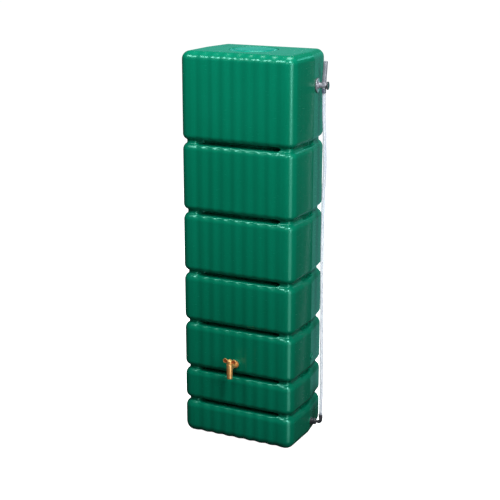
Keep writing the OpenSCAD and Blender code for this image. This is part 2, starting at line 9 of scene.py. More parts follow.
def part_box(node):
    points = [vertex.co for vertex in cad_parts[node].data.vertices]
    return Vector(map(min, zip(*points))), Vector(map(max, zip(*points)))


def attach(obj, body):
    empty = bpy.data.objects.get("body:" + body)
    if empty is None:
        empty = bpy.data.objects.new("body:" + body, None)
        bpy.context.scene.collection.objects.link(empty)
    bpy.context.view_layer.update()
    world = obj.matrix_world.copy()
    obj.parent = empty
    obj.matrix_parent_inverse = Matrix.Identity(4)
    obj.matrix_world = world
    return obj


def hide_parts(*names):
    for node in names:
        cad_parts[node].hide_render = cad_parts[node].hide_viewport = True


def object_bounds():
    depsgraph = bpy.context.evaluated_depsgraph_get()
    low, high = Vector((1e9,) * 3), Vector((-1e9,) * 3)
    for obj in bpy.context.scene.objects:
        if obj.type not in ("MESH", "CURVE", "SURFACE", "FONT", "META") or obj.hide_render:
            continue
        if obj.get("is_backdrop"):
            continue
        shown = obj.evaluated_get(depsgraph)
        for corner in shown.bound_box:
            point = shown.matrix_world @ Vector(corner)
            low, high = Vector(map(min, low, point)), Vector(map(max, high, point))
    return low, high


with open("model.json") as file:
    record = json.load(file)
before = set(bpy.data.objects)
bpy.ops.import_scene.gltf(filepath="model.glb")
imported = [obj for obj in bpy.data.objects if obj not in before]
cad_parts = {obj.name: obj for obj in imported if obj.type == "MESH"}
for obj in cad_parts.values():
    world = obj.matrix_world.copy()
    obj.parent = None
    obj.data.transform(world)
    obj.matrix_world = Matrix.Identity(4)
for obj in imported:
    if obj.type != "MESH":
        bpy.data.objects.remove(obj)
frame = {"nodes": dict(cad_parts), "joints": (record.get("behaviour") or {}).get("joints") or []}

CAD_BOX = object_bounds()
MM = 0.001
UP = Vector((0, 0, 1))

# ---------- places and sizes that the frame gives ----------

JOINTS = {j["name"]: j for j in frame["joints"]}
SHELL_LOW, SHELL_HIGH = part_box("tank_shell")
TANK_H = SHELL_HIGH.z
HALF_W = -SHELL_LOW.x
BACK_Y = SHELL_HIGH.y
FRONT_Y = -BACK_Y
LID_X, LID_Y = JOINTS["lid_turn"]["pos_m"][:2]
LID_CENTRE = Vector((LID_X, LID_Y, 0))
TAP_AXIS = Vector(JOINTS["tap_turn"]["pos_m"])
GAUGE_TOP = Vector(JOINTS["end_cap_turn"]["pos_m"])
SIDE_OUT = Vector(JOINTS["end_cap_turn"]["axis"])
LEVEL_AXIS = Vector((-SIDE_OUT.y, SIDE_OUT.x, 0))


def middle(node):
    low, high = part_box(node)
    return (low + high) / 2


# ---------- the tank's own dimensions, in metres ----------

WALL = 4.5 * MM
FRONT_R = 45 * MM
BACK_R = 38 * MM
CREASE_Y = FRONT_Y + 212 * MM
CREASE_SOFT = 5 * MM
TAPER = math.radians(9)
TOP_R = 38 * MM
BOTTOM_R = 44 * MM
FLUTE_PITCH = 56 * MM
FLUTE_DEPTH = 3 * MM
FLUTE_COUNT = 8
FLUTE_FADE = math.radians(18)
LIP_FADE = 0.35
# how far behind the front face a pocket breaks out of the rounded edges beside a groove
MOUTH_INSET = 12.5 * MM
GROOVES = [z * MM for z in (164, 324, 550, 788, 1075, 1397)]
GROOVE_DEPTH = 19 * MM
NECK_H = 16 * MM
UPPER_LIP_R = 28 * MM
LOWER_LIP_R = 34 * MM
FRONT_POCKET = 46 * MM
FRONT_POCKET_HALF = 205 * MM
FRONT_POCKET_SLOPE = 30 * MM
SIDE_POCKET = 9 * MM
SIDE_POCKET_FROM = -55 * MM
SIDE_POCKET_TO = 68 * MM
SIDE_POCKET_SLOPE = 20 * MM

RECESS_R = 111 * MM
LEDGE_R = 105 * MM
LEDGE_Z = TANK_H - 15 * MM
LEDGE_T = 3 * MM
RECESS_WALL = 5 * MM
BOSS_Y = 27 * MM
BOSS_Z = 396 * MM

# ---------- the camera ----------

CAMERA_AZIMUTH = math.radians(26.73)
CAMERA_DISTANCE = 5.51
CAMERA_HEIGHT = 2.392
CAMERA_TURN = math.radians(0.253)
CAMERA_DOWN = math.radians(15.36)
SENSOR = 36.0
FRAME_PX = 500
FOCAL_PX = 1234.25


def make_camera():
    data = bpy.data.cameras.new("camera")
    data.sensor_width = SENSOR
    data.lens = FOCAL_PX / FRAME_PX * SENSOR
    data.clip_end = 60
    camera = bpy.data.objects.new("camera", data)
    bpy.context.scene.collection.objects.link(camera)
    camera.location = (
        math.sin(CAMERA_AZIMUTH) * CAMERA_DISTANCE,
        -math.cos(CAMERA_AZIMUTH) * CAMERA_DISTANCE,
        CAMERA_HEIGHT,
    )
    camera.rotation_euler = (math.pi / 2 - CAMERA_DOWN, 0, CAMERA_AZIMUTH + CAMERA_TURN)
    bpy.context.scene.camera = camera


# ---------- mesh helpers ----------

ON_AXIS = 1e-4


def smoothstep(t):
    t = max(0.0, min(1.0, t))
    return t * t * (3 - 2 * t)


def new_piece(name, vertices, faces, angle=None):
    """A smooth-shaded object; edges sharper than angle (degrees) stay sharp."""
    mesh = bpy.data.meshes.new(name)
    mesh.from_pydata([tuple(v) for v in vertices], [], faces)
    mesh.validate()
    mesh.update()
    work = bmesh.new()
    work.from_mesh(mesh)
    bmesh.ops.recalc_face_normals(work, faces=work.faces)
    work.to_mesh(mesh)
    work.free()
    piece = bpy.data.objects.new(name, mesh)
    bpy.context.scene.collection.objects.link(piece)
    shade(piece, angle)
    return piece


def shade(piece, angle=None):
    mesh = piece.data
    mesh.shade_smooth()
    if angle is not None:
        mesh.set_sharp_from_angle(angle=math.radians(angle))


def finish_piece(piece, material, body, slot, *nodes):
    piece.data.materials.clear()
    piece.data.materials.append(material)
    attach(piece, body)
    if nodes:
        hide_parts(*nodes)
    return piece


def fillet(points, steps=4):
    """A closed outline of (x, y, radius) with each corner rounded by its radius."""
    out = []
    count = len(points)
    for i, (x, y, radius) in enumerate(points):
        here = Vector((x, y))
        before = Vector(points[i - 1][:2]) - here
        after = Vector(points[(i + 1) % count][:2]) - here
        if radius <= 0:
            out.append(here)
            continue
        reach = min(radius / math.tan(before.angle(after) / 2), before.length * 0.49, after.length * 0.49)
        start = here + before.normalized() * reach
        end = here + after.normalized() * reach
        for k in range(steps + 1):
            t = k / steps
            out.append(start * (1 - t) ** 2 + here * 2 * t * (1 - t) + end * t * t)
    return out


def revolved(name, section, segments, place, angle=50):
    """A body of revolution from a closed (radius, height) section in mm; place(r, z, turn) gives its points."""
    vertices, faces, rows = [], [], []
    for p in section:
        if p.x < ON_AXIS:
            rows.append([len(vertices)] * segments)
            vertices.append(place(0, p.y, 0))
            continue
        rows.append(list(range(len(vertices), len(vertices) + segments)))
        vertices += [place(p.x, p.y, 2 * math.pi * k / segments) for k in range(segments)]
    for row, after in zip(rows, rows[1:] + rows[:1]):
        for k in range(segments):
            m = (k + 1) % segments
            face = list(dict.fromkeys([row[k], row[m], after[m], after[k]]))
            if len(face) > 2:
                faces.append(face)
    return new_piece(name, vertices, faces, angle)


def round_point(r, z, turn):
    return Vector((r * math.cos(turn), r * math.sin(turn), z)) * MM


def turned(name, outline, segments=72, steps=4):
    """A body of revolution about local Z from a closed outline of (radius, height, corner radius), in mm."""
    kept = []
    for p in fillet(outline, steps):
        point = Vector((max(p.x, 0.0), p.y))
        if not kept or (point - kept[-1]).length > ON_AXIS:
            kept.append(point)
    return revolved(name, kept, segments, round_point)


def frame_of(origin, axis, along=UP):
    """A matrix that puts local +Z along axis and local +X as near to along as it can be."""
    z = Vector(axis).normalized()
    x = Vector(along) - z * Vector(along).dot(z)
    if x.length < 1e-4:
        x = Vector((1, 0, 0))
    x.normalize()
    y = z.cross(x)
    turn = Matrix((x, y, z)).transposed().to_4x4()
    return Matrix.Translation(Vector(origin)) @ turn


def put(piece, origin, axis=UP, along=UP):
    piece.data.transform(frame_of(origin, axis, along))
    piece.data.update()
    return piece


def prism(name, outline, low, high, bevel):
    """An upright prism over a convex or simple outline, in mm, with bevelled edges."""
    n = len(outline)
    vertices = [Vector((p[0], p[1], low)) * MM for p in outline]
    vertices += [Vector((p[0], p[1], high)) * MM for p in outline]
    faces = [list(range(n - 1, -1, -1)), list(range(n, 2 * n))]
    faces += [[i, (i + 1) % n, n + (i + 1) % n, n + i] for i in range(n)]
    piece = new_piece(name, vertices, faces, 40)
    bevel_edges(piece, bevel)
    return piece


def bevel_edges(piece, width, segments=3, angle=40):
    work = bmesh.new()
    work.from_mesh(piece.data)
    sharp = [e for e in work.edges if e.is_manifold and e.calc_face_angle(0) > math.radians(angle)]
    bmesh.ops.bevel(
        work, geom=sharp, offset=width * MM, segments=segments, profile=0.5,
        affect="EDGES", clamp_overlap=True, loop_slide=True,
    )
    work.to_mesh(piece.data)
    work.free()
    shade(piece, 50)


def hexagon(across_flats):
    r = across_flats / 2 / math.cos(math.radians(30))
    return [(r * math.cos(math.radians(60 * i)), r * math.sin(math.radians(60 * i))) for i in range(6)]


SLIVER = 0.005 * MM


def drop_slivers(piece):
    """Join the points that a boolean leaves on top of each other, and drop the faces between them."""
    work = bmesh.new()
    work.from_mesh(piece.data)
    bmesh.ops.remove_doubles(work, verts=work.verts, dist=SLIVER)
    bmesh.ops.dissolve_degenerate(work, edges=work.edges, dist=SLIVER)
    work.to_mesh(piece.data)
    work.free()


def merged(name, first, *others):
    """One solid from overlapping closed solids."""
    for other in others:
        cut = first.modifiers.new("union", "BOOLEAN")
        cut.operation = "UNION"
        cut.solver = "EXACT"
        cut.object = other
        apply_modifiers(first)
        bpy.data.objects.remove(other)
    drop_slivers(first)
    first.name = name
    first.data.name = name
    shade(first, 50)
    return first


def carved(first, *tools):
    """First minus the tools, which are removed."""
    for tool in tools:
        cut = first.modifiers.new("cut", "BOOLEAN")
        cut.operation = "DIFFERENCE"
        cut.solver = "EXACT"
        cut.object = tool
        apply_modifiers(first)
        bpy.data.objects.remove(tool)
    drop_slivers(first)
    shade(first, 50)
    return first


def apply_modifiers(piece):
    graph = bpy.context.evaluated_depsgraph_get()
    graph.update()
    mesh = bpy.data.meshes.new_from_object(piece.evaluated_get(graph))
    old = piece.data
    piece.modifiers.clear()
    piece.data = mesh
    bpy.data.meshes.remove(old)


# ---------- materials ----------


class Nodes:
    """Short ways to add and join shader nodes."""

    def __init__(self, name):
        self.material = bpy.data.materials.new(name)
        self.material.use_nodes = True
        self.tree = self.material.node_tree
        self.tree.nodes.clear()
        self.out = self.add("ShaderNodeOutputMaterial")
        self.shader = self.add("ShaderNodeBsdfPrincipled")
        self.join(self.shader, "BSDF", self.out, "Surface")
        self.place = self.add("ShaderNodeTexCoord")

    def add(self, kind, **values):
        node = self.tree.nodes.new(kind)
        for key, value in values.items():
            if hasattr(node, key):
                setattr(node, key, value)
            else:
                node.inputs[key.replace("_", " ")].default_value = value
        return node

    def join(self, a, out, b, into):
        self.tree.links.new(a.outputs[out], b.inputs[into])

    def stretched(self, x, y, z):
        """The object's own coordinates, scaled along each axis."""
        node = self.add("ShaderNodeMapping")
        node.inputs["Scale"].default_value = (x, y, z)
        self.join(self.place, "Object", node, "Vector")
        return node

    def noise(self, scale, detail=3.0, roughness=0.5, stretch=None):
        node = self.add("ShaderNodeTexNoise")
        node.inputs["Scale"].default_value = scale
        node.inputs["Detail"].default_value = detail
        node.inputs["Roughness"].default_value = roughness
        if stretch is None:
            self.join(self.place, "Object", node, "Vector")
        else:
            self.join(self.stretched(*stretch), "Vector", node, "Vector")
        return node

    def span(self, source, out, low, high, to_low, to_high):
        node = self.add("ShaderNodeMapRange")
        node.inputs["From Min"].default_value = low
        node.inputs["From Max"].default_value = high
        node.inputs["To Min"].default_value = to_low
        node.inputs["To Max"].default_value = to_high
        self.join(source, out, node, "Value")
        return node

    def ramp(self, source, out, stops):
        node = self.add("ShaderNodeValToRGB")
        elements = node.color_ramp.elements
        while len(elements) < len(stops):
            elements.new(0.5)
        for element, (at, colour) in zip(elements, stops):
            element.position = at
            element.color = (*colour, 1)
        self.join(source, out, node, "Fac")
        return node

    def bumps(self, *layers):
        """Layers of (noise node, output, strength, distance in metres) on the surface normal."""
        before = None
        for source, out, strength, distance in layers:
            node = self.add("ShaderNodeBump")
            node.inputs["Strength"].default_value = strength
            node.inputs["Distance"].default_value = distance
            self.join(source, out, node, "Height")
            if before is not None:
                self.join(before, "Normal", node, "Normal")
            before = node
        self.join(before, "Normal", self.shader, "Normal")

    def set(self, **values):
        for key, value in values.items():
            self.shader.inputs[key.replace("_", " ")].default_value = value


def green_plastic(name, base, light, dark, tint):
    """Glossy moulded polyethylene: faint upright light and dark streaks painted as the flutes' shading bands,
    orange peel and fine rub marks.
    """
    n = Nodes(name)
    clouds = n.noise(2.2, 4, 0.55)
    # Painted shading: stretched noise gives faint upright light and dark streaks that stand in for the flutes'
    # bands.
    flute_shade_streaks = n.noise(1.0, 3, 0.6, (46, 46, 0.7))
    blend = n.add("ShaderNodeMath", operation="MULTIPLY_ADD")
    blend.inputs[1].default_value = 0.45
    n.join(flute_shade_streaks, "Fac", blend, 0)
    half = n.span(clouds, "Fac", 0.0, 1.0, 0.0, 0.55)
    n.join(half, "Result", blend, 2)
    colour = n.ramp(blend, "Value", [(0.30, dark), (0.50, base), (0.72, light)])
    n.join(colour, "Color", n.shader, "Base Color")
    rubs = n.noise(1.0, 6, 0.7, (30, 30, 190))
    rough = n.span(rubs, "Fac", 0.35, 0.75, 0.20, 0.30)
    n.join(rough, "Result", n.shader, "Roughness")
    peel = n.noise(420, 2, 0.5)
    waves = n.noise(7, 2, 0.4)
    n.bumps((waves, "Fac", 0.10, 0.002), (peel, "Fac", 0.03, 0.0003))
    n.set(IOR=1.5, Specular_Tint=tint)
    return n.material


def brass(name, base, light, dark, roughness):
    """Copper-toned cast brass: darker in blotches, with fine cast grain and polished spots."""
    n = Nodes(name)
    blotch = n.noise(60, 5, 0.6)
    colour = n.ramp(blotch, "Fac", [(0.30, dark), (0.52, base), (0.74, light)])
    n.join(colour, "Color", n.shader, "Base Color")
    grain = n.noise(900, 3, 0.6)
    rough = n.span(blotch, "Fac", 0.3, 0.7, roughness + 0.08, roughness - 0.06)
    n.join(rough, "Result", n.shader, "Roughness")
    turning = n.noise(1.0, 2, 0.5, (60, 60, 1500))
    n.bumps((grain, "Fac", 0.18, 0.0003), (turning, "Fac", 0.06, 0.0002))
    n.set(Metallic=0.6, IOR=1.5)
    return n.material


def hard_plastic(name, base, light, roughness, coat=0.25, metallic=0.0):
    """Glossy injection-moulded plastic with a fine grain, dull spots and faint flow marks."""
    n = Nodes(name)
    clouds = n.noise(35, 4, 0.6)
    colour = n.ramp(clouds, "Fac", [(0.35, base), (0.75, light)])
    n.join(colour, "Color", n.shader, "Base Color")
    dust = n.noise(240, 4, 0.65)
    rough = n.span(dust, "Fac", 0.35, 0.75, roughness, roughness + 0.14)
    n.join(rough, "Result", n.shader, "Roughness")
    grain = n.noise(1600, 2, 0.5)
    n.bumps((clouds, "Fac", 0.08, 0.0006), (grain, "Fac", 0.06, 0.0002))
    n.set(IOR=1.5, Coat_Weight=coat, Coat_Roughness=0.1, Metallic=metallic)
    return n.material


def rubber_material():
    """Matt rubber with a fine pitted skin."""
    n = Nodes("rubber")
    clouds = n.noise(90, 4, 0.6)
    colour = n.ramp(clouds, "Fac", [(0.3, (0.012, 0.012, 0.013)), (0.75, (0.035, 0.035, 0.038))])
    n.join(colour, "Color", n.shader, "Base Color")
    rough = n.span(clouds, "Fac", 0.3, 0.8, 0.55, 0.75)
    n.join(rough, "Result", n.shader, "Roughness")
    pits = n.noise(1400, 3, 0.6)
    n.bumps((pits, "Fac", 0.25, 0.0003),)
    n.set(IOR=1.5)
    return n.material


def steel_material():
    """Zinc-plated steel with fine brushing."""
    n = Nodes("steel")
    brushed = n.noise(1.0, 4, 0.6, (2500, 160, 160))
    colour = n.ramp(brushed, "Fac", [(0.3, (0.48, 0.48, 0.50)), (0.75, (0.70, 0.70, 0.71))])
    n.join(colour, "Color", n.shader, "Base Color")
    rough = n.span(brushed, "Fac", 0.3, 0.7, 0.22, 0.38)
    n.join(rough, "Result", n.shader, "Roughness")
    n.bumps((brushed, "Fac", 0.1, 0.0002),)
    n.set(Metallic=1.0)
    return n.material


def clear_material(name, light, shade_colour, alpha, roughness):
    """Clear flexible tube: milky in places, glossy, denser towards its edges."""
    n = Nodes(name)
    clouds = n.noise(1.0, 3, 0.5, (60, 60, 5))
    colour = n.ramp(clouds, "Fac", [(0.3, shade_colour), (0.7, light)])
    n.join(colour, "Color", n.shader, "Base Color")
    edge = n.add("ShaderNodeLayerWeight")
    edge.inputs["Blend"].default_value = 0.35
    dense = n.span(edge, "Facing", 0.0, 0.9, alpha, min(1.0, alpha + 0.5))
    n.join(dense, "Result", n.shader, "Alpha")
    rough = n.span(clouds, "Fac", 0.3, 0.7, roughness, roughness + 0.08)
    n.join(rough, "Result", n.shader, "Roughness")
    n.bumps((clouds, "Fac", 0.1, 0.0005),)
    n.set(IOR=1.45, Coat_Weight=0.3, Coat_Roughness=0.05)
    return n.material


def make_materials():
    return {
        "tank_green": green_plastic(
            "tank_green", (0.0006, 0.150, 0.082), (0.0012, 0.168, 0.095), (0.0003, 0.134, 0.071),
            (0.35, 1.0, 0.85, 1)),
        # A lighter copy of the tank's green for the lid: painted sheen for the overhead light on its upward
        # face.
        "lid_green": green_plastic(
            "lid_green", (0.002, 0.20, 0.14), (0.004, 0.23, 0.165), (0.001, 0.17, 0.115),
            (0.45, 1.0, 0.9, 1)),
        "brass": brass("brass", (0.78, 0.41, 0.14), (0.88, 0.54, 0.22), (0.62, 0.28, 0.08), 0.34),
        "brass_handle": brass(
            "brass_handle", (0.82, 0.47, 0.17), (0.92, 0.62, 0.28), (0.66, 0.32, 0.09), 0.34),
        # Darker brass for the wing recess floors: painted shade in the hollows, not a separate finish.
        "brass_painted_recess_shade": brass(
            "brass_painted_recess_shade", (0.50, 0.13, 0.035), (0.58, 0.20, 0.06), (0.38, 0.085, 0.02), 0.5),
        "black_plastic": hard_plastic(
            "black_plastic", (0.022, 0.023, 0.029), (0.042, 0.042, 0.052), 0.22),
        "gauge_grey": hard_plastic(
            "gauge_grey", (0.22, 0.22, 0.26), (0.30, 0.30, 0.34), 0.14, 0.8, 0.2),
        "grey_plastic": hard_plastic(
            "grey_plastic", (0.17, 0.18, 0.21), (0.23, 0.24, 0.28), 0.30, 0.2),
        "sleeve": hard_plastic("sleeve", (0.06, 0.075, 0.11), (0.10, 0.12, 0.17), 0.25, 0.4),
        "clear_hose": clear_material(
            "clear_hose", (0.86, 0.90, 0.99), (0.72, 0.78, 0.92), 0.32, 0.10),
        "rubber": rubber_material(),
        "steel": steel_material(),
    }


# ---------- tank: plan outline ----------


def flute(x):
    """Depth of the flutes at x, square to the surface."""
    if abs(x) > FLUTE_PITCH * FLUTE_COUNT / 2:
        return 0.0
    return FLUTE_DEPTH * (1 - math.cos(2 * math.pi * x / FLUTE_PITCH)) / 2


def past_crease(u):
    """How far a point lies behind the crease, with the bend rounded off."""
    if u < -CREASE_SOFT:
        return 0.0
    if u > CREASE_SOFT:
        return u
    return (u + CREASE_SOFT) ** 2 / (4 * CREASE_SOFT)


def side_x(y, inset):
    return HALF_W - inset - past_crease(y - CREASE_Y - inset * math.tan(TAPER / 2)) * math.tan(TAPER)


def pocket_share(v, low, high, slope):
    return smoothstep(min((v - low) / slope + 0.5, (high - v) / slope + 0.5))


class Station:
    """One upright line of the shell: gives its point in plan for an inset and an extra pocket depth."""

    def __init__(self, kind, at, side=1):
        self.kind = kind
        self.at = at
        self.side = side
        self.share = 0.0
        self.pocket = 0.0
        self.flute = flute(at) if kind == "front" else 0.0
        if kind == "front":
            self.share = pocket_share(at, -FRONT_POCKET_HALF, FRONT_POCKET_HALF, FRONT_POCKET_SLOPE)
            self.pocket = FRONT_POCKET
        if kind == "side":
            self.share = pocket_share(at, SIDE_POCKET_FROM, SIDE_POCKET_TO, SIDE_POCKET_SLOPE)
            self.pocket = SIDE_POCKET

    def point(self, inset, extra):
        if self.kind == "front":
            return self.at, FRONT_Y + inset + extra
        if self.kind == "back":
            return self.at, BACK_Y - inset
        if self.kind == "side":
            x, y = side_x(self.at, inset) - extra, self.at
        elif self.kind == "front_corner":
            r = max(FRONT_R - inset, MM)
            x = HALF_W - inset - r + r * math.cos(self.at)
            y = FRONT_Y + inset + r + r * math.sin(self.at)
        else:
            r = max(BACK_R - inset, MM)
            cy = BACK_Y - inset - r
            x = side_x(cy, inset) - r / math.cos(TAPER) + r * math.cos(self.at)
            y = cy + r * math.sin(self.at)
        return self.side * x, y


def spread(low, high, count):
    return [low + (high - low) * i / (count - 1) for i in range(count)]


def side_stations():
    front = FRONT_Y + FRONT_R
    back = BACK_Y - BACK_R
    ys = spread(front, back, 12)[1:-1]
    for edge in (SIDE_POCKET_FROM, SIDE_POCKET_TO):
        ys += spread(edge - SIDE_POCKET_SLOPE / 2, edge + SIDE_POCKET_SLOPE / 2, 7)
    ys += spread(CREASE_Y - 1.4 * CREASE_SOFT, CREASE_Y + 1.4 * CREASE_SOFT, 7)
    ys = sorted(ys)
    kept = [ys[0]]
    for y in ys[1:]:
        if y - kept[-1] > 1.2 * MM:
            kept.append(y)
    return kept


def outline_stations():
    """All stations, counter-clockwise seen from above, from the front's left end."""
    edge = HALF_W - FRONT_R
    flat = FLUTE_PITCH * FLUTE_COUNT / 2
    xs = spread(-edge, -flat, 3)[:-1] + spread(-flat, flat, FLUTE_COUNT * 14 + 1) + spread(flat, edge, 3)[1:]
    stations = [Station("front", x) for x in xs]
    arc = [math.radians(a) for a in spread(-90, 0, 15)]
    back_arc = [math.radians(a) for a in spread(math.degrees(TAPER), 90, 11)]
    right = [("front_corner", a) for a in arc[1:]]
    right += [("side", y) for y in side_stations()]
    right += [("back_corner", a) for a in back_arc]
    stations += [Station(kind, at) for kind, at in right]
    corner_x = stations[-1].point(0, 0)[0]
    stations += [Station("back", x) for x in spread(corner_x, -corner_x, 26)[1:-1]]
    stations += [Station(kind, at, -1) for kind, at in reversed(right)]
    return stations


# ---------- tank: upright profile ----------
# A row is (outside, inside): one entry for the lines outside the pockets and one for the lines inside them.
# An entry is (height, inset, share of the pocket's depth, flute's share upward, flute's share inward).


def plain_row(*entry):
    return entry, entry


def blend(curve, t):
    """A point at t on a line, or on a curve with three control entries."""
    if len(curve) == 2:
        weights = (1 - t, t)
    else:
        weights = ((1 - t) ** 2, 2 * t * (1 - t), t * t)
    return tuple(sum(w * entry[k] for w, entry in zip(weights, curve)) for k in range(5))


def edge_fade(angle):
    """The flutes run round the edges and fade out on the base and on the roof."""
    return smoothstep((math.pi / 2 - angle) / FLUTE_FADE)


def end_rows(radius, skin, steps, base, side):
    """A rounded outer edge of the tank, from the flat (base or roof) to the wall."""
    rows = []
    for i in range(steps + 1):
        a = math.pi / 2 * (1 - i / steps)
        r = radius - skin
        fade = edge_fade(a)
        z = base + side * (radius - r * math.sin(a))
        inset = radius - r * math.cos(a)
        rows.append(plain_row(z, inset, 0.0, side * fade * math.sin(a), fade * math.cos(a)))
    return rows


def lip_rows(middle_z, side, lip_r, skin, steps, turn_steps):
    """Half of a groove, from the segment's wall to the groove's middle; side is -1 below and 1 above."""
    r = lip_r - skin
    angle = math.acos(1 - GROOVE_DEPTH / lip_r)
    centre = NECK_H / 2 + lip_r * math.sin(angle)

    def on_lip(a, end):
        fade = smoothstep((end - a) / (LIP_FADE * end))
        return centre - r * math.sin(a), lip_r - r * math.cos(a), 0.0, fade * math.sin(a), fade * math.cos(a)

    soft = 5.5 * MM
    last = angle - soft * 0.75 / lip_r
    pocket_angle = math.acos(1 - MOUTH_INSET / lip_r)
    pocket_last = pocket_angle - 2.5 * MM / lip_r
    rows = []
    for i in range(steps + 1):
        rows.append((on_lip(last * i / steps, angle), on_lip(pocket_last * i / steps, pocket_angle)))
    neck = centre - lip_r * math.sin(pocket_angle) + skin
    depth = GROOVE_DEPTH + skin
    mouth = on_lip(last, angle)
    corner = (NECK_H / 2 + skin * 0.6, depth, 0.0, 0.0, 0.0)
    wall = (max(corner[0] - soft, 0.4 * MM), depth, 0.0, 0.0, 0.0)
    foot = (wall[0] * 0.3, depth, 0.0, 0.0, 0.0)
    floor_soft = 6 * MM
    pocket_mouth = on_lip(pocket_last, pocket_angle)
    edge = (neck + 0.3 * MM, MOUTH_INSET + skin + 0.5 * MM, 0.0, 0.0, 0.0)
    roof_start = (neck, MOUTH_INSET + skin + 5 * MM, 0.0, 0.0, 0.0)
    roof_end = (neck - MM, depth, 1 - floor_soft / FRONT_POCKET, 0.0, 0.0)
    back_corner = (neck - 1.2 * MM, depth, 1.0, 0.0, 0.0)
    back_wall = (neck - 1.2 * MM - floor_soft, depth, 1.0, 0.0, 0.0)
    for i in range(1, turn_steps + 1):
        t = i / turn_steps
        rows.append((blend((mouth, corner, wall), t), blend((pocket_mouth, edge, roof_start), t)))
    for i in range(turn_steps):
        t = i / (turn_steps - 1)
        rows.append((blend((wall, foot), (i + 1) / turn_steps), blend((roof_end, back_corner, back_wall), t)))

    def placed(entry):
        return (middle_z + side * entry[0], entry[1], entry[2], side * entry[3], entry[4])

    rows = [(placed(a), placed(b)) for a, b in rows]
    return rows if side < 0 else rows[::-1]


def shell_rows(skin, steps, turn_steps):
    """Rows from the base to the roof, on the outside (skin 0) or on the inside (skin = wall)."""
    rows = end_rows(BOTTOM_R, skin, steps + 3, 0.0, 1)
    for z in GROOVES:
        rows += lip_rows(z, -1, LOWER_LIP_R, skin, steps, turn_steps)
        rows += lip_rows(z, 1, UPPER_LIP_R, skin, steps, turn_steps)
    rows += end_rows(TOP_R, skin, steps + 3, TANK_H, -1)[::-1]
    return rows


def ring_of(row, stations):
    points = []
    for s in stations:
        z, inset, share, up, inward = blend(row, s.share)
        x, y = s.point(inset, s.share * share * s.pocket)
        points.append(Vector((x, y + s.flute * inward, z + s.flute * up)))
    return points


def circle_ring(outline, radius, z):
    """Points on a circle round the filler, each in line with a point of the tank's outline."""
    points = []
    for p in outline:
        away = Vector((p.x - LID_X, p.y - LID_Y, 0)).normalized()
        points.append(Vector((LID_X, LID_Y, z)) + away * radius)
    return points


def between(a, b, t):
    return [p.lerp(q, t) for p, q in zip(a, b)]


def roof_rings(outer, inner):
    """From the outer edge of the roof in to the recess, round the ledge, and out again underneath."""
    edge = 2.5 * MM
    rim = circle_ring(outer, RECESS_R + edge, TANK_H)
    rings = [between(outer, rim, t) for t in (0.06, 0.3, 0.6, 0.85, 0.97)]
    rings.append(rim)
    for i in range(1, 5):
        a = math.radians(90) * i / 4
        radius = RECESS_R + edge * (1 - math.sin(a))
        rings.append(circle_ring(outer, radius, TANK_H - edge * (1 - math.cos(a))))
    outside_r = RECESS_R + RECESS_WALL
    for radius, z in (
        (RECESS_R, LEDGE_Z + MM), (RECESS_R - MM, LEDGE_Z), (LEDGE_R + 0.5 * MM, LEDGE_Z),
        (LEDGE_R, LEDGE_Z - 0.5 * MM), (LEDGE_R, LEDGE_Z - LEDGE_T), (outside_r, LEDGE_Z - LEDGE_T),
        (outside_r, TANK_H - WALL),
    ):
        rings.append(circle_ring(outer, radius, z))
    rings.append(between(rings[-1], inner, 0.5))
    return rings


def swept(name, rings):
    """A closed surface through rings of equally many points, with a fan at each end."""
    n = len(rings[0])
    vertices = [p for ring in rings for p in ring]
    faces = []
    for k in range(len(rings) - 1):
        for i in range(n):
            j = (i + 1) % n
            faces.append([k * n + i, k * n + j, (k + 1) * n + j, (k + 1) * n + i])
    for base, ring in ((0, rings[0]), ((len(rings) - 1) * n, rings[-1])):
        vertices.append(sum(ring, Vector()) / n)
        faces += [[len(vertices) - 1, base + i, base + (i + 1) % n] for i in range(n)]
    return new_piece(name, vertices, faces)


def make_shell(mats):
    stations = outline_stations()
    outside = [ring_of(row, stations) for row in shell_rows(0.0, 9, 4)]
    inside = [ring_of(row, stations) for row in shell_rows(WALL, 2, 2)]
    rings = outside + roof_rings(outside[-1], inside[-1]) + inside[::-1]
    shell = swept("moulded_shell", rings)
    finish_piece(shell, mats["tank_green"], "tank", "tank_green", "tank_shell")
    pad = turned("tap_pad", [(0, -6, 0), (24, -6, 0), (24, 1, 1.2), (17.6, 1, 0), (0, 1, 0)])
    put(pad, (TAP_AXIS.x, FRONT_Y, TAP_AXIS.z), (0, -1, 0))
    finish_piece(pad, mats["tank_green"], "tank", "tank_green")
    pad = turned("gauge_pad", [(0, -4, 0), (20, -4, 0), (20, 1, 0.8), (0, 1, 0)])
    put(pad, side_point(middle("gauge_lower_washer")), SIDE_OUT)
    finish_piece(pad, mats["tank_green"], "tank", "tank_green")
    boss = turned("side_boss", [
        (0, -3, 0), (17, -3, 0), (17, 3, 1.4), (12.6, 3, 1.0), (12, 1, 0.6), (0, 1.0, 0)])
    put(boss, Vector((side_x(BOSS_Y, 0), BOSS_Y, BOSS_Z)), SIDE_OUT)
    finish_piece(boss, mats["tank_green"], "tank", "tank_green")


def side_point(near):
    """The point on the tapered side that lies straight behind a point outside it."""
    crease = Vector((HALF_W, CREASE_Y, 0))
    on_plane = crease + LEVEL_AXIS * (Vector((near.x, near.y, 0)) - crease).dot(LEVEL_AXIS)
    return Vector((on_plane.x, on_plane.y, near.z))


# ---------- lid ----------


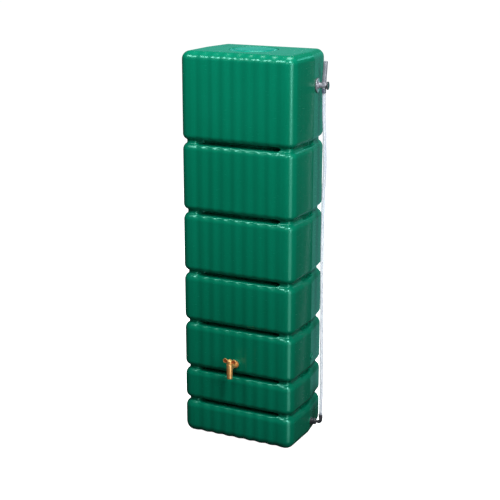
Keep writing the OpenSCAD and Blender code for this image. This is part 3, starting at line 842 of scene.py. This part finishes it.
def make_lid(mats):
    """Screw lid: raised disc, two finger grips in the flange, screw skirt and stiffening ribs."""
    low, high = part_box("lid")
    top = high.z / MM
    under = top - 11.1
    flange_top = top - 2.5
    skirt_low = low.z / MM
    outline = fillet([
        (0, top, 0), (86, top, 2.0), (87.5, flange_top, 1.2), (108, flange_top, 2.0), (108, under, 1.0),
        (87.5, under, 0.6), (87.5, skirt_low, 1.0), (83.5, skirt_low, 1.0), (83.5, under + 0.2, 2.0),
        (0, under + 0.2, 0),
    ], 5)
    section = []
    for i, p in enumerate(outline):
        section.append(p)
        nxt = outline[(i + 1) % len(outline)]
        if abs(p.y - flange_top) < 0.05 and abs(nxt.y - flange_top) < 0.05 and nxt.x > p.x:
            section += [Vector((r, flange_top)) for r in spread(p.x, nxt.x, 22)[1:-1]]

    def lid_point(r, z, turn):
        sunk = grip_depth(r, turn) if z > flange_top - 0.1 else 0
        return LID_CENTRE + Vector((r * math.cos(turn), r * math.sin(turn), z - sunk)) * MM

    lid = revolved("screw_lid", section, 240, lid_point, 60)
    ribs = []
    for i in range(6):
        rib = prism("lid_rib", [(30, -1.5), (84, -1.5), (84, 1.5), (30, 1.5)], under - 6, under + 0.6, 0.5)
        rib.data.transform(Matrix.Translation(LID_CENTRE) @ Matrix.Rotation(math.radians(60 * i), 4, "Z"))
        ribs.append(rib)
    merged("screw_lid", lid, *ribs)
    finish_piece(lid, mats["lid_green"], "lid", "lid_green", "lid")


def grip_depth(r, angle):
    """Depth in mm of the finger grips at both ends of the lid."""
    off = abs(math.degrees(math.atan2(math.sin(angle), abs(math.cos(angle)))))
    return 6 * smoothstep((22 - off) / 5) * smoothstep((r - 89.5) / 2.5) * smoothstep((103.5 - r) / 2.5)


# ---------- tap ----------


def make_tap(mats):
    """Plug tap: threaded inlet with wall flange, upright housing and spout, gland nut and handle."""
    wall = Vector((TAP_AXIS.x, FRONT_Y, TAP_AXIS.z))
    forward = (0, -1, 0)
    housing = turned("tap_housing", [
        (0, -51, 0), (12.5, -51, 2), (12.5, -31.5, 0.8), (13.5, -30, 0.8), (13.5, 13, 1.0), (0, 13, 0)], 96)
    put(housing, TAP_AXIS)
    pitch = 1.8
    turns = 18
    thread_start = -30.2
    outline = [(0, -31, 0)]
    for i in range(turns):
        root = thread_start + i * pitch
        outline += [(12.1, root, 0.2), (13.1, root + pitch / 2, 0.25)]
    outline += [
        (12.4, 3.5, 0), (17, 3.5, 0.8), (17, 8, 1.4), (12, 8, 0), (12, 15, 0), (14.2, 15, 0),
        (14.2, 18.5, 1.2), (12, 18.5, 0), (12, 56, 0), (0, 56, 0)]
    inlet = turned("tap_inlet", outline, 72, 2)
    put(inlet, wall, forward)
    hexed = prism("tap_hex", hexagon(26), 7.5, 16.5, 0.9)
    put(hexed, wall, forward)
    bore = turned("inlet_bore", [(0, -35, 0), (8, -35, 0), (8, 54, 0), (0, 54, 0)], 60)
    put(bore, wall, forward)
    chamber = turned("tap_chamber", [
        (0, -53, 0), (10, -53, 0), (8, -50.2, 0), (8, -16, 0), (10.05, -16, 0), (10.05, 16, 0),
        (0, 16, 0)], 96)
    put(chamber, TAP_AXIS)
    waterway = merged("tap_waterway", chamber, bore)
    body = carved(merged("tap_casting", inlet, hexed, housing), waterway)
    finish_piece(body, mats["brass"], "tank", "brass", "tap_body")
    gland = turned("tap_gland", [
        (7, 13, 0), (13.9, 13, 0.4), (13.9, 15.4, 0.5), (13.3, 15.8, 0.2), (13.9, 16.2, 0.5), (13.9, 18, 0.9),
        (12.6, 19, 0.5), (7, 19, 0.4)], 96)
    put(gland, TAP_AXIS)
    finish_piece(gland, mats["brass"], "tank", "brass", "tap_gland_nut")
    handle = make_handle()
    finish_piece(handle, mats["brass_handle"], "tap_rotor", "brass_handle", "tap_handle")
    # Painted shade: a darker brass sheet on each wing recess floor stands in for the shade in the hollows.
    for index, inlay in enumerate(make_wing_shade_sheets()):
        inlay.name = f"wing_shade_sheet_{index}"
        finish_piece(inlay, mats["brass_painted_recess_shade"], "tap_rotor", "brass_handle")


def wing_outline(shrink, steps=14):
    """Outline of the right wing: a round lobe that narrows to the hub, x outward and y up, in mm."""
    lobe_x, lobe_y, lobe_r = 22, 32, 11 - shrink
    points = []
    for i in range(steps + 1):
        a = math.radians(-112 + 218 * i / steps)
        points.append((lobe_x + lobe_r * math.cos(a), lobe_y + lobe_r * math.sin(a)))
    points += [(9, 36.5 - shrink), (3, 36 - shrink), (3, 22 + shrink), (9, 21.6 + shrink)]
    return points


def turn_wing(plate, side):
    """Stand a flat wing upright on the tap's axis and turn it to its side (degrees)."""
    upright = Matrix.Rotation(math.radians(90), 4, "X")
    plate.data.transform(Matrix.Rotation(math.radians(side), 4, "Z") @ upright)
    return put(plate, TAP_AXIS)


def make_wing_shade_sheets():
    """Darker brass sheets laid on the floor of each recess in the wings: painted shade in the hollows."""
    floors = []
    for side in (0, 180):
        for low, high in ((1.2, 1.45), (-1.45, -1.2)):
            floors.append(turn_wing(prism("wing_shade_sheet", wing_outline(2.7), low, high, 0.05), side))
    return floors


def make_handle():
    """Butterfly handle: a hub with a recessed wing on each side."""
    parts = []
    for side in (0, 180):
        plate = prism("wing", wing_outline(0), -2.5, 2.5, 1.1)
        for face in (-1, 1):
            low, high = sorted((face * 1.3, face * 3.5))
            tool = prism("wing_recess", wing_outline(2.4), low, high, 0.35)
            carved(plate, tool)
        parts.append(turn_wing(plate, side))
    hub = turned("tap_hub", [
        (0, 31, 0), (7, 31, 0), (7, 19.6, 0.3), (12, 19.6, 1.0), (12, 34.5, 3.5), (8.6, 39.3, 3.2),
        (4.5, 40, 0.5), (4.4, 35, 0.3), (0, 35, 0)], 96)
    put(hub, TAP_AXIS)
    return merged("butterfly_handle", hub, *parts)


# ---------- level gauge ----------

TEE_OUT = 31 * MM
ELBOW_OUT = 50 * MM
VENT_LEAN = math.radians(3.5)
HOSE_R = 8 * MM
HOSE_WALL = 2 * MM


def make_upper_gauge(mats):
    """Wall connector with its barrel and sockets, vent tube, hose sleeve and end cap."""
    wall = side_point(GAUGE_TOP)
    wall.z = GAUGE_TOP.z
    centre = wall + SIDE_OUT * TEE_OUT
    barrel = turned("tee_barrel", [
        (8.5, -22, 0.5), (12, -22, 0.8), (12, 2, 0), (32, 2, 0.6), (32, 6, 1.2), (16.5, 6, 1.5),
        (15, 8.5, 1.0), (12.3, 9.5, 1.2), (12.3, 45, 0.8), (8.5, 45, 0.6)], 96)
    put(barrel, wall, SIDE_OUT)
    socket = turned("tee_socket", [
        (9.95, 7.5, 0.3), (11.8, 0, 0), (11.8, 16, 0.9), (9.95, 16, 0.4)], 72)
    put(socket, centre)
    nipple = turned("tee_nipple", [
        (4, -40, 0.4), (5.6, -40, 0.8), (5.6, -12, 0), (8.5, -12.5, 0.8), (8.5, -7, 0), (4, -7, 0)], 72)
    put(nipple, centre)
    tee = merged("gauge_tee", barrel, socket, nipple)
    finish_piece(tee, mats["gauge_grey"], "tank", "black_plastic", "gauge_upper_tee")
    lean = (SIDE_OUT * math.sin(VENT_LEAN) + UP * math.cos(VENT_LEAN)).normalized()
    top = vent_length(centre)
    vent = turned("vent_tube", [(8, 9.1, 0.3), (9.95, 9.1, 0.3), (9.95, top, 0.8), (8, top, 0.6)], 72)
    put(vent, centre, lean, SIDE_OUT)
    finish_piece(vent, mats["grey_plastic"], "tank", "grey_plastic", "gauge_vent_tube")
    clip = turned("upper_sleeve", [
        (8.1, -33, 0.4), (9.8, -33, 0.7), (9.8, -14, 0.4), (9.3, -13.6, 0.3), (9.8, -13.2, 0.3),
        (9.8, -12.5, 0.3), (8.1, -12.5, 0.3)], 72)
    put(clip, centre)
    finish_piece(clip, mats["sleeve"], "tank", "grey_plastic", "gauge_upper_hose_clip")
    washer = turned("upper_washer", [(12.2, 0, 0.2), (33, 0, 0.6), (33, 2, 0.6), (12.2, 2, 0.2)], 96)
    put(washer, wall, SIDE_OUT)
    finish_piece(washer, mats["rubber"], "tank", "rubber", "gauge_upper_washer")
    make_end_cap(mats, wall)


def vent_length(centre):
    """Height in mm of the vent tube's top above the connector, along the leaning tube."""
    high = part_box("gauge_vent_tube")[1].z
    return (high - centre.z) / MM / math.cos(VENT_LEAN) - 9.95 * math.tan(VENT_LEAN)


def make_end_cap(mats, wall):
    """Round cap with finger ribs, shallow dish and a hollow plug."""
    ribs = 18
    outline = fillet([
        (0, 45.2, 0), (5, 45.2, 0), (5, 37, 0), (8.4, 37, 0.5), (8.4, 45.4, 0), (18, 45.4, 1.0),
        (18, 52.4, 1.8), (14, 52.4, 0.8), (12.5, 51.2, 1.0), (0, 51.2, 0)], 4)

    def cap_point(r, z, turn):
        notch = 1.1 * (0.5 + 0.5 * math.cos(ribs * turn)) ** 3 * smoothstep((r - 15) / 3)
        return round_point(r - notch, z, turn)

    cap = revolved("finger_cap", outline, ribs * 10, cap_point)
    put(cap, wall, SIDE_OUT)
    finish_piece(cap, mats["black_plastic"], "end_cap", "black_plastic", "gauge_end_cap")


def make_lower_gauge(mats):
    """Wall connector, union nut, elbow and hose collar at the foot of the gauge."""
    near = middle("gauge_lower_washer")
    wall = side_point(near)
    wall.z = near.z
    corner = wall + SIDE_OUT * ELBOW_OUT
    washer = turned("lower_washer", [(9.2, 1, 0.2), (18, 1, 0.6), (18, 3, 0.6), (9.2, 3, 0.2)], 72)
    put(washer, wall, SIDE_OUT)
    finish_piece(washer, mats["rubber"], "tank", "rubber", "gauge_lower_washer")
    base = turned("connector_base", [
        (4.5, -20, 0.5), (9.1, -20, 0.8), (9.1, 3, 0), (17, 3, 0.8), (17, 7, 1.3), (10, 8, 0.6),
        (10, 25, 0.4), (6.6, 25, 0.3), (6.6, 17, 0), (4.5, 17, 0)], 72)
    put(base, wall, SIDE_OUT)
    hexed = carved(prism("connector_hex", hexagon(24), 6.5, 13, 0.9), turned(
        "hex_bore", [(0, 4, 0), (8, 4, 0), (8, 16, 0), (0, 16, 0)], 48))
    put(hexed, wall, SIDE_OUT)
    connector = merged("lower_connector", base, hexed)
    finish_piece(connector, mats["black_plastic"], "tank", "black_plastic", "gauge_lower_connector")
    nut = carved(prism("union_nut", hexagon(29), 16, 27, 1.3), turned(
        "nut_bore", [
            (0, 15, 0), (10.1, 15, 0), (10.1, 25.4, 0), (6.6, 25.4, 0), (6.6, 28, 0), (0, 28, 0)], 64))
    put(nut, wall, SIDE_OUT)
    finish_piece(nut, mats["black_plastic"], "tank", "black_plastic", "gauge_lower_union_nut")
    elbow = make_elbow(wall, corner)
    finish_piece(elbow, mats["black_plastic"], "tank", "black_plastic", "gauge_elbow")
    clip = turned("lower_collar", [
        (8.1, 17, 0.4), (9.4, 17, 0.8), (9.4, 21, 0.4), (8.9, 21.6, 0.3), (9.4, 22.2, 0.4),
        (9.4, 37, 1.0), (8.1, 37, 0.5)], 72)
    put(clip, corner)
    finish_piece(clip, mats["black_plastic"], "tank", "black_plastic", "gauge_lower_hose_clip")


def make_elbow(wall, corner):
    """Pipe bend of round section from the union nut up to the hose, with a hose nipple."""
    bend_r = 9.5 * MM
    path, radii, bores = [], [], []
    for out, r, b in ((18, 6.5, 4.5), (27.5, 6.5, 4.5), (34, 6.5, 4.4), (37, 8.0, 4.2), (39, 8.3, 4.0)):
        path.append((wall + SIDE_OUT * out * MM, SIDE_OUT))
        radii.append(r)
        bores.append(b)
    start = corner - SIDE_OUT * bend_r
    for i in range(9):
        a = math.radians(90) * i / 8
        at = start + SIDE_OUT * bend_r * math.sin(a) + UP * bend_r * (1 - math.cos(a))
        path.append((at, (SIDE_OUT * math.cos(a) + UP * math.sin(a)).normalized()))
        radii.append(8.3)
        bores.append(4.0)
    for up, r in ((13.2, 8.3), (14, 7.6), (14.2, 5.6), (43, 5.6), (44, 4.9)):
        path.append((corner + UP * up * MM, UP))
        radii.append(r)
        bores.append(4.0)
    return tube_along("hose_elbow", path, radii, bores, 48)


def tube_along(name, path, radii, bores, segments):
    """A hollow round tube along (point, direction) pairs, with an outer and an inner radius in mm at each."""
    rings = []
    stations = list(zip(path, radii)) + list(zip(reversed(path), reversed(bores)))
    for (at, along), r in stations:
        side = LEVEL_AXIS.cross(along).normalized()
        turns = [2 * math.pi * k / segments for k in range(segments)]
        rings.append([at + (LEVEL_AXIS * math.cos(a) + side * math.sin(a)) * r * MM for a in turns])
    vertices = [p for ring in rings for p in ring]
    faces = []
    for i in range(len(rings)):
        j = (i + 1) % len(rings)
        for k in range(segments):
            m = (k + 1) % segments
            faces.append([i * segments + k, i * segments + m, j * segments + m, j * segments + k])
    return new_piece(name, vertices, faces, 50)


# how far the hose bows away from the straight line between its two ends, by height, in mm
HOSE_BOW = [(88, 0), (300, 1), (600, 0), (900, -1), (1120, 2), (1290, 9), (1420, 6), (1540, 1), (1620, 0)]


def bow_at(z):
    """Smooth bow of the hose at a height, in mm."""
    if z <= HOSE_BOW[0][0] or z >= HOSE_BOW[-1][0]:
        return 0.0
    for (z0, b0), (z1, b1) in zip(HOSE_BOW, HOSE_BOW[1:]):
        if z <= z1:
            return b0 + (b1 - b0) * smoothstep((z - z0) / (z1 - z0))
    return 0.0


def make_hose(mats):
    low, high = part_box("gauge_hose")
    near = middle("gauge_lower_washer")
    foot = side_point(near) + SIDE_OUT * ELBOW_OUT
    head = side_point(GAUGE_TOP) + SIDE_OUT * TEE_OUT
    straight = 30 * MM
    count = 150
    path = []
    for i in range(count + 1):
        z = low.z + (high.z - low.z) * i / count
        share = smoothstep((z - low.z - straight) / (high.z - low.z - 2 * straight))
        at = foot.lerp(head, share) + SIDE_OUT * bow_at(z / MM) * MM
        path.append((Vector((at.x, at.y, z)), UP))
    radii = [HOSE_R / MM] * len(path)
    bores = [(HOSE_R - HOSE_WALL) / MM] * len(path)
    hose = tube_along("clear_hose", path, radii, bores, 40)
    finish_piece(hose, mats["clear_hose"], "tank", "clear_hose", "gauge_hose")


# ---------- CAD nodes that keep their own shape ----------

KEPT_NODES = {
    "filler_ring": "tank_green",
    "lid_gasket": "rubber",
    "tap_outer_washer": "rubber",
    "tap_inner_washer": "rubber",
    "tap_lock_nut": "brass",
    "tap_plug": "brass",
    "tap_plug_orings": "rubber",
    "tap_handle_screw": "steel",
    "gauge_upper_nut": "black_plastic",
    "gauge_cap_seal": "rubber",
    "gauge_lower_inner_nut": "black_plastic",
    "gauge_elbow_seal": "rubber",
}


def dress_kept_nodes(mats):
    for name, slot in KEPT_NODES.items():
        node = frame["nodes"][name]
        node.data.materials.clear()
        node.data.materials.append(mats[slot])


# ---------- stage and light ----------


def make_floor():
    """A plain white floor that casts no light or reflection onto the tank."""
    size = 30
    n = Nodes("floor")
    grain = n.noise(3, 3, 0.5)
    colour = n.ramp(grain, "Fac", [(0.3, (0.86, 0.86, 0.86)), (0.7, (0.90, 0.90, 0.90))])
    n.join(colour, "Color", n.shader, "Base Color")
    n.set(Roughness=0.9, Emission_Color=(1, 1, 1, 1), Emission_Strength=1.0, Specular_IOR_Level=0.0)
    corners = [(-size, -size, 0), (size, -size, 0), (size, size, 0), (-size, size, 0)]
    floor = new_piece("floor", corners, [[0, 1, 2, 3]])
    floor.location.z = -0.5 * MM
    floor.data.materials.append(n.material)
    floor.visible_glossy = False
    floor.visible_diffuse = False
    floor.visible_shadow = False
    floor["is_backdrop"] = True


def make_world():
    """White to the camera, and a dim pale studio to the object."""
    world = bpy.data.worlds.new("studio")
    world.use_nodes = True
    tree = world.node_tree
    tree.nodes.clear()
    out = tree.nodes.new("ShaderNodeOutputWorld")
    seen = tree.nodes.new("ShaderNodeBackground")
    seen.inputs["Color"].default_value = (1, 1, 1, 1)
    seen.inputs["Strength"].default_value = 1.0
    dim = tree.nodes.new("ShaderNodeBackground")
    dim.inputs["Color"].default_value = (0.92, 0.97, 1.0, 1)
    dim.inputs["Strength"].default_value = 0.035
    path = tree.nodes.new("ShaderNodeLightPath")
    mix = tree.nodes.new("ShaderNodeMixShader")
    tree.links.new(path.outputs["Is Camera Ray"], mix.inputs["Fac"])
    tree.links.new(dim.outputs["Background"], mix.inputs[1])
    tree.links.new(seen.outputs["Background"], mix.inputs[2])
    tree.links.new(mix.outputs["Shader"], out.inputs["Surface"])
    bpy.context.scene.world = world


def soft_box(name, at, towards, width, height, power, tint=(1, 1, 1)):
    """A rectangular lamp in metres and watts, aimed at a point and unseen by the camera."""
    data = bpy.data.lights.new(name, "AREA")
    data.shape = "RECTANGLE"
    data.size = width
    data.size_y = height
    data.energy = power
    data.color = tint
    light = bpy.data.objects.new(name, data)
    bpy.context.scene.collection.objects.link(light)
    light.location = at
    light.rotation_euler = (Vector(towards) - Vector(at)).to_track_quat("-Z", "Y").to_euler()
    light.visible_camera = False
    return light


def make_lights():
    roof = TANK_H
    teal = (0.25, 1.0, 0.93)
    soft_box("key", (-1.0, -1.5, 3.2), (0, -0.1, roof), 0.9, 0.4, 30)
    soft_box("overhead", (0.3, 0.1, 4.0), (0, 0, roof), 1.8, 1.4, 72)
    soft_box("right_top", (2.6, -2.3, 4.5), (0, 0, 1.0), 1.0, 0.5, 160)
    soft_box("high_fill", (0.6, -4.4, 4.4), (0, 0, 0.7), 2.0, 1.4, 60)
    soft_box("side_box", (3.1, -1.9, 2.3), (0, 0, 1.1), 1.8, 1.6, 52)
    soft_box("corner_strip", (2.85, -1.95, 1.35), (0, 0, 1.35), 0.25, 1.0, 9)
    soft_box("low_reflection", (3.0, -2.1, -0.2), (0, 0, -0.2), 1.8, 3.2, 52).visible_diffuse = False
    soft_box("back_fill", (-1.6, 4.2, 4.2), (0, 0, 0.9), 2.0, 1.5, 90).visible_glossy = False
    soft_box("back_strip", (1.25, 3.6, 3.1), (0, 0, roof), 1.2, 0.3, 4, teal)
    soft_box("back_panel", (-1.1, 4.6, 0.6), (-0.7, 0, 0.6), 4.6, 4.6, 30, teal)


def make_colours():
    view = bpy.context.scene.view_settings
    view.view_transform = "Standard"
    view.look = "None"
    view.exposure = 0.0
    view.gamma = 1.0


# ---------- the whole object ----------

make_camera()
MATS = make_materials()
make_shell(MATS)
make_lid(MATS)
make_tap(MATS)
make_upper_gauge(MATS)
make_lower_gauge(MATS)
make_hose(MATS)
dress_kept_nodes(MATS)
make_floor()
make_world()
make_lights()
make_colours()

VISUAL_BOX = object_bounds()
for label, box in (("cad", CAD_BOX), ("visual", VISUAL_BOX)):
    json.dumps([label, [list(corner) for corner in box]]) + "\n"
